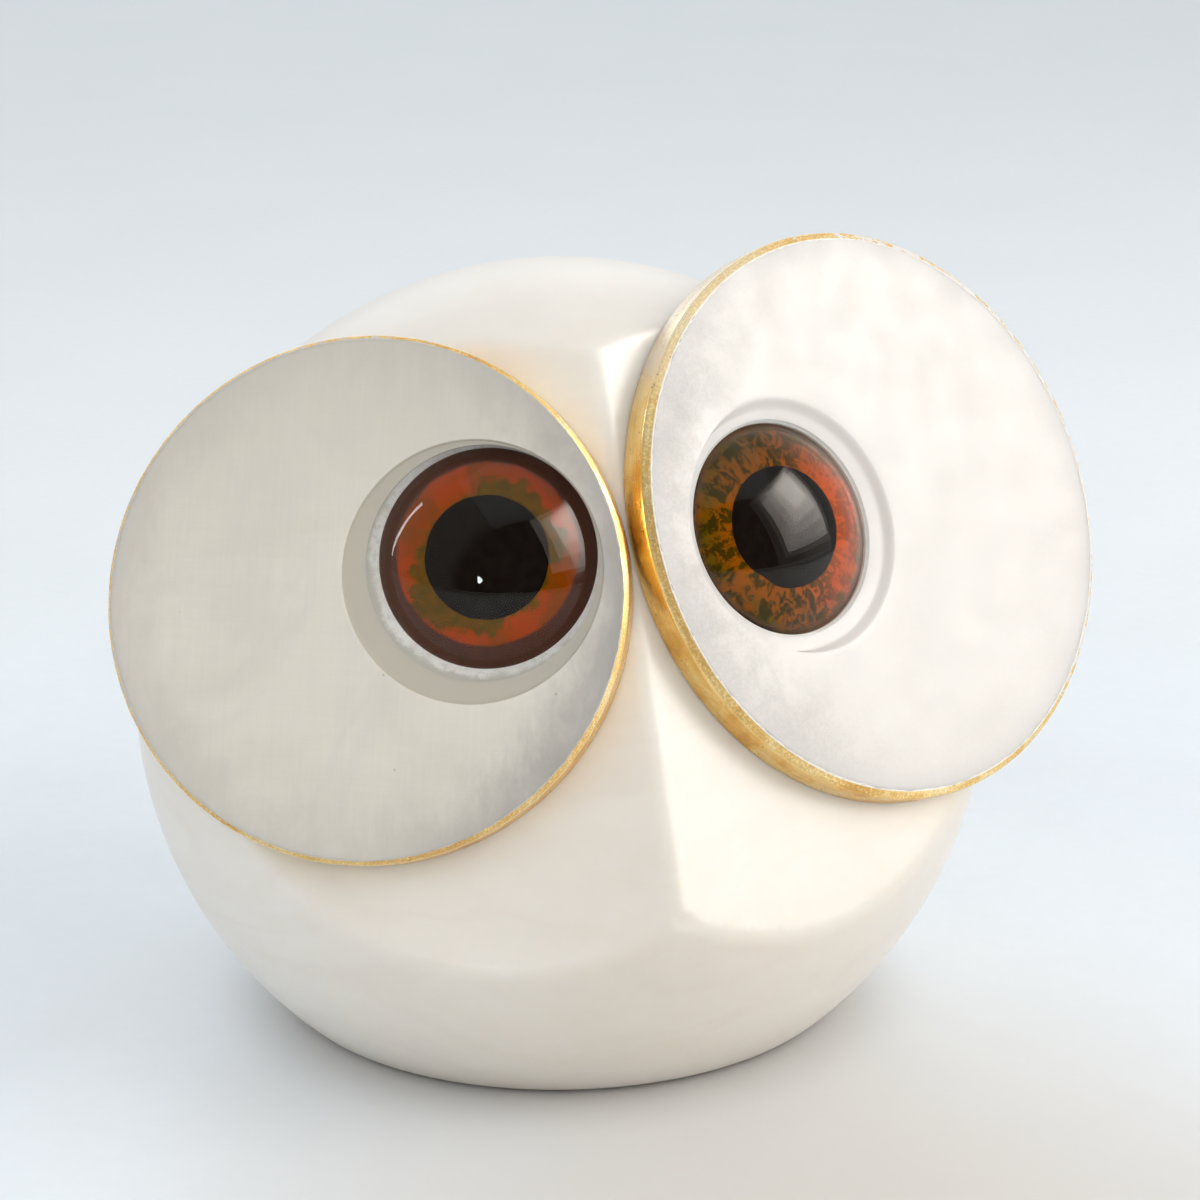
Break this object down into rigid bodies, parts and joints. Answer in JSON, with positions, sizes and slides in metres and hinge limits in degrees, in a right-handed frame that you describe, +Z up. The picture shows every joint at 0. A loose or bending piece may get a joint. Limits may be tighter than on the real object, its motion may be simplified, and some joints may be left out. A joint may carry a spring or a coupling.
{
  "type": "owl figurine",
  "caption": "Owl figurine: an alabaster ball with two flat facets, each carrying a thin gilt-edged stone disc with a large off-centre glass eye.",
  "frame": {"origin": "centre of the felt pad's underside, on the surface the figurine stands on, straight below the ball's centre", "axes": "+Z up, the owl faces -Y, +X to the right of someone looking at its face"},
  "size_m": [0.1758, 0.1499, 0.1389],
  "materials": {
    "ball_alabaster": "polished, faintly translucent, with fine clouds",
    "left_disc_alabaster": "satin, cloudy, with grey veins by the rim",
    "right_disc_alabaster": "satin, sugary white",
    "gold_leaf": "burnished gold leaf over a warm ground, worn thin along the inner edge",
    "eye_glass": "polished clear glass",
    "pupil_paint": "black paint behind glass",
    "left_iris_paint": "orange-red paint mottled with olive, dark brown outer ring",
    "right_iris_paint": "orange paint flecked with olive green, brown outer ring",
    "seal_varnish": "dark sealing coat",
    "putty": "white, smoothed by hand",
    "adhesive": "cured stone adhesive",
    "pin_steel": "plain drawn rod",
    "felt": "pressed felt"
  },
  "bodies": {
    "root": {"body": "ball_alabaster", "base_pad": "felt", "left_disc": "left_disc_alabaster", "left_gold_leaf": "gold_leaf", "left_disc_bond": "adhesive", "left_disc_pins": "pin_steel", "left_eye_glass": "eye_glass", "left_pupil": "pupil_paint", "left_iris": "left_iris_paint", "left_eye_seal": "seal_varnish", "left_eye_bedding": "putty", "right_disc": "right_disc_alabaster", "right_gold_leaf": "gold_leaf", "right_disc_bond": "adhesive", "right_disc_pins": "pin_steel", "right_eye_glass": "eye_glass", "right_pupil": "pupil_paint", "right_iris": "right_iris_paint", "right_eye_seal": "seal_varnish", "right_eye_bedding": "putty"}
  },
  "joints": []
}
